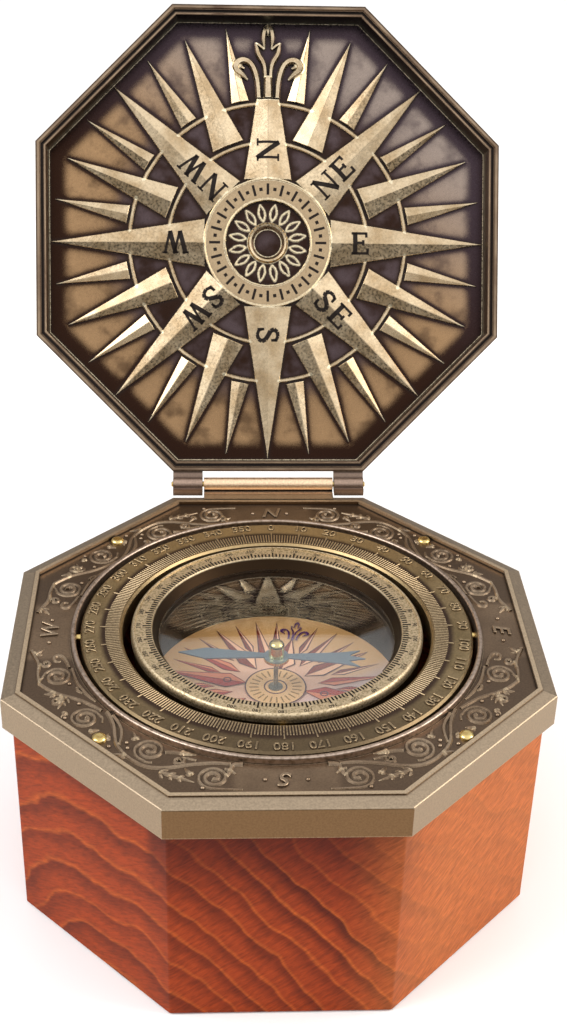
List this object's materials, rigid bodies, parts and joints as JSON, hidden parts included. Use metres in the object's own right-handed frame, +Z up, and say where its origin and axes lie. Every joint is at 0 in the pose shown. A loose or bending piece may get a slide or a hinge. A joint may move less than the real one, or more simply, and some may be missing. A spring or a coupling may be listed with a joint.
{
  "type": "gimballed compass box",
  "caption": "Octagonal wooden compass box with an ornamented brass deck, a gimballed compass bowl with needle and card, and a hinged brass lid with a wind rose inside.",
  "frame": {"origin": "centre of the box's underside, on the surface that it stands on", "axes": "+Z up, +Y from the front to the hinge, +X to the right as seen from the front"},
  "size_m": [0.1, 0.1571, 0.1426],
  "materials": {
    "felt": "pressed green felt",
    "wood": "reddish brown, satin varnish",
    "deck_bronze": "antiqued cast brass, dark in the recesses",
    "bright_brass": "polished brass",
    "liner_brass": "antiqued turned brass",
    "ring_bronze": "antiqued cast brass",
    "bowl_brass": "darkened turned brass",
    "bezel_brass": "bright turned brass",
    "weight_metal": "raw casting",
    "card_paper": "printed card",
    "sleeve_metal": "matt dark paint",
    "gasket_rubber": "matt black rubber",
    "clear_glass": "clear domed glass",
    "post_steel": "turned steel",
    "blued_steel": "blued steel",
    "jewel_stone": "polished agate",
    "lid_bronze": "antiqued cast brass"
  },
  "bodies": {
    "case": {"base_felt": "felt", "wooden_case": "wood", "deck_plate": "deck_bronze", "deck_pins": "bright_brass", "well_liner": "liner_brass", "outer_pivots": "bright_brass", "hinge_pin": "bright_brass"},
    "gimbal": {"gimbal_ring": "ring_bronze", "inner_pivots": "bright_brass"},
    "bowl": {"compass_bowl": "bowl_brass", "bowl_weight": "weight_metal", "card_plate": "bowl_brass", "compass_card": "card_paper", "inner_sleeve": "sleeve_metal", "glass_gasket": "gasket_rubber", "crystal": "clear_glass", "bezel_ring": "bezel_brass", "pivot_post": "post_steel"},
    "needle": {"needle": "blued_steel", "needle_cap": "bright_brass", "needle_jewel": "jewel_stone"},
    "lid": {"lid_cover": "lid_bronze", "lid_rose_panel": "lid_bronze"}
  },
  "joints": [
    {"name": "lid_hinge", "type": "hinge", "parent": "case", "child": "lid", "pos_m": [0, 0.0528, 0.0516], "axis": [1, 0, 0], "range_deg": [0, 118]},
    {"name": "gimbal_tilt", "type": "hinge", "parent": "case", "child": "gimbal", "pos_m": [0, 0, 0.0485], "axis": [1, 0, 0], "range_deg": [-6, 6]},
    {"name": "bowl_tilt", "type": "hinge", "parent": "gimbal", "child": "bowl", "pos_m": [0, 0, 0.0485], "axis": [0, 1, 0], "range_deg": [-6, 6]},
    {"name": "needle_turn", "type": "hinge", "parent": "bowl", "child": "needle", "pos_m": [0, 0, 0.0436], "axis": [0, 0, 1], "continuous": true}
  ]
}
